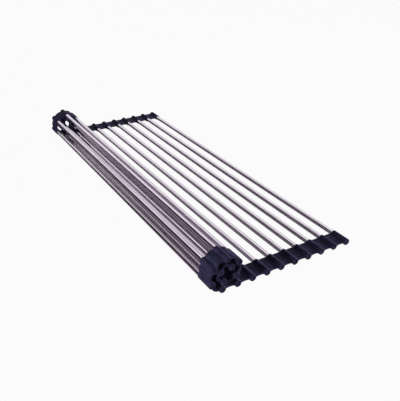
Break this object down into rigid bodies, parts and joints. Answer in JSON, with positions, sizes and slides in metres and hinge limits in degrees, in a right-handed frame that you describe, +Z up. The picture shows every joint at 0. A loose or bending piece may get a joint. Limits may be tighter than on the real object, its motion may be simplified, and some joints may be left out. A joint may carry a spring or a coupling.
{
  "type": "roll up dish drying rack",
  "caption": "Dish drying rack of round steel tubes between two flexible silicone strips, lying flat at one end and rolled up at the other.",
  "frame": {"origin": "middle of the rack's box as it stands, on the surface it stands on", "axes": "+Y along the tubes towards the far strip, +X along the strips towards the free flat end, +Z up"},
  "size_m": [0.1978, 0.52, 0.044],
  "materials": {
    "silicone": "matte",
    "steel": "polished"
  },
  "bodies": {
    "bar_01": {"tube_01": "steel", "near_link_01": "silicone", "far_link_01": "silicone"},
    "bar_02": {"tube_02": "steel", "near_link_02": "silicone", "far_link_02": "silicone"},
    "bar_03": {"tube_03": "steel", "near_link_03": "silicone", "far_link_03": "silicone"},
    "bar_04": {"tube_04": "steel", "near_link_04": "silicone", "far_link_04": "silicone"},
    "bar_05": {"tube_05": "steel", "near_link_05": "silicone", "far_link_05": "silicone"},
    "bar_06": {"tube_06": "steel", "near_link_06": "silicone", "far_link_06": "silicone"},
    "bar_07": {"tube_07": "steel", "near_link_07": "silicone", "far_link_07": "silicone"},
    "bar_08": {"tube_08": "steel", "near_link_08": "silicone", "far_link_08": "silicone"},
    "bar_09": {"tube_09": "steel", "near_link_09": "silicone", "far_link_09": "silicone"},
    "bar_10": {"tube_10": "steel", "near_link_10": "silicone", "far_link_10": "silicone"},
    "bar_11": {"tube_11": "steel", "near_link_11": "silicone", "far_link_11": "silicone"},
    "bar_12": {"tube_12": "steel", "near_link_12": "silicone", "far_link_12": "silicone"},
    "bar_13": {"tube_13": "steel", "near_link_13": "silicone", "far_link_13": "silicone"},
    "bar_14": {"tube_14": "steel", "near_link_14": "silicone", "far_link_14": "silicone"},
    "bar_15": {"tube_15": "steel", "near_link_15": "silicone", "far_link_15": "silicone"},
    "bar_16": {"tube_16": "steel", "near_link_16": "silicone", "far_link_16": "silicone"},
    "bar_17": {"tube_17": "steel", "near_link_17": "silicone", "far_link_17": "silicone"},
    "bar_18": {"tube_18": "steel", "near_link_18": "silicone", "far_link_18": "silicone"}
  },
  "joints": [
    {"name": "fold_01", "type": "hinge", "parent": "bar_01", "child": "bar_02", "pos_m": [0.08493, 0, 0.0043], "axis": [0, 1, 0], "range_deg": [-30, 30]},
    {"name": "fold_02", "type": "hinge", "parent": "bar_02", "child": "bar_03", "pos_m": [0.06533, 0, 0.0043], "axis": [0, 1, 0], "range_deg": [-30, 30]},
    {"name": "fold_03", "type": "hinge", "parent": "bar_03", "child": "bar_04", "pos_m": [0.04573, 0, 0.0043], "axis": [0, 1, 0], "range_deg": [-30, 30]},
    {"name": "fold_04", "type": "hinge", "parent": "bar_04", "child": "bar_05", "pos_m": [0.02613, 0, 0.0043], "axis": [0, 1, 0], "range_deg": [-30, 30]},
    {"name": "fold_05", "type": "hinge", "parent": "bar_05", "child": "bar_06", "pos_m": [0.00653, 0, 0.0043], "axis": [0, 1, 0], "range_deg": [-30, 30]},
    {"name": "fold_06", "type": "hinge", "parent": "bar_06", "child": "bar_07", "pos_m": [-0.01307, 0, 0.0043], "axis": [0, 1, 0], "range_deg": [-30, 30]},
    {"name": "fold_07", "type": "hinge", "parent": "bar_07", "child": "bar_08", "pos_m": [-0.03267, 0, 0.0043], "axis": [0, 1, 0], "range_deg": [-30, 30]},
    {"name": "fold_08", "type": "hinge", "parent": "bar_08", "child": "bar_09", "pos_m": [-0.05227, 0, 0.0043], "axis": [0, 1, 0], "range_deg": [-30, 30]},
    {"name": "fold_09", "type": "hinge", "parent": "bar_09", "child": "bar_10", "pos_m": [-0.07187, 0, 0.0043], "axis": [0, 1, 0], "range_deg": [-30, 15]},
    {"name": "fold_10", "type": "hinge", "parent": "bar_10", "child": "bar_11", "pos_m": [-0.09147, 0, 0.0043], "axis": [0, 1, 0], "range_deg": [-73, 0]},
    {"name": "fold_11", "type": "hinge", "parent": "bar_11", "child": "bar_12", "pos_m": [-0.0972, 0, 0.02304], "axis": [0, 1, 0], "range_deg": [-51.01, 0]},
    {"name": "fold_12", "type": "hinge", "parent": "bar_12", "child": "bar_13", "pos_m": [-0.08624, 0, 0.03929], "axis": [0, 1, 0], "range_deg": [-54.01, 0]},
    {"name": "fold_13", "type": "hinge", "parent": "bar_13", "child": "bar_14", "pos_m": [-0.06665, 0, 0.03998], "axis": [0, 1, 0], "range_deg": [-64.01, 0]},
    {"name": "fold_14", "type": "hinge", "parent": "bar_14", "child": "bar_15", "pos_m": [-0.05745, 0, 0.02267], "axis": [0, 1, 0], "range_deg": [-75.01, 0]},
    {"name": "fold_15", "type": "hinge", "parent": "bar_15", "child": "bar_16", "pos_m": [-0.07179, 0, 0.0093], "axis": [0, 1, 0], "range_deg": [-68.01, 0]},
    {"name": "fold_16", "type": "hinge", "parent": "bar_16", "child": "bar_17", "pos_m": [-0.08955, 0, 0.01759], "axis": [0, 1, 0], "range_deg": [-98.01, 0]},
    {"name": "fold_17", "type": "hinge", "parent": "bar_17", "child": "bar_18", "pos_m": [-0.07888, 0, 0.03402], "axis": [0, 1, 0], "range_deg": [-94.01, 0]}
  ],
  "couplings": [
    {"joint": "fold_11", "follows": "fold_10", "ratio": 0.69863},
    {"joint": "fold_12", "follows": "fold_10", "ratio": 0.73973},
    {"joint": "fold_13", "follows": "fold_10", "ratio": 0.87671},
    {"joint": "fold_14", "follows": "fold_10", "ratio": 1.0274},
    {"joint": "fold_15", "follows": "fold_10", "ratio": 0.93151},
    {"joint": "fold_16", "follows": "fold_10", "ratio": 1.3425},
    {"joint": "fold_17", "follows": "fold_10", "ratio": 1.2877}
  ]
}
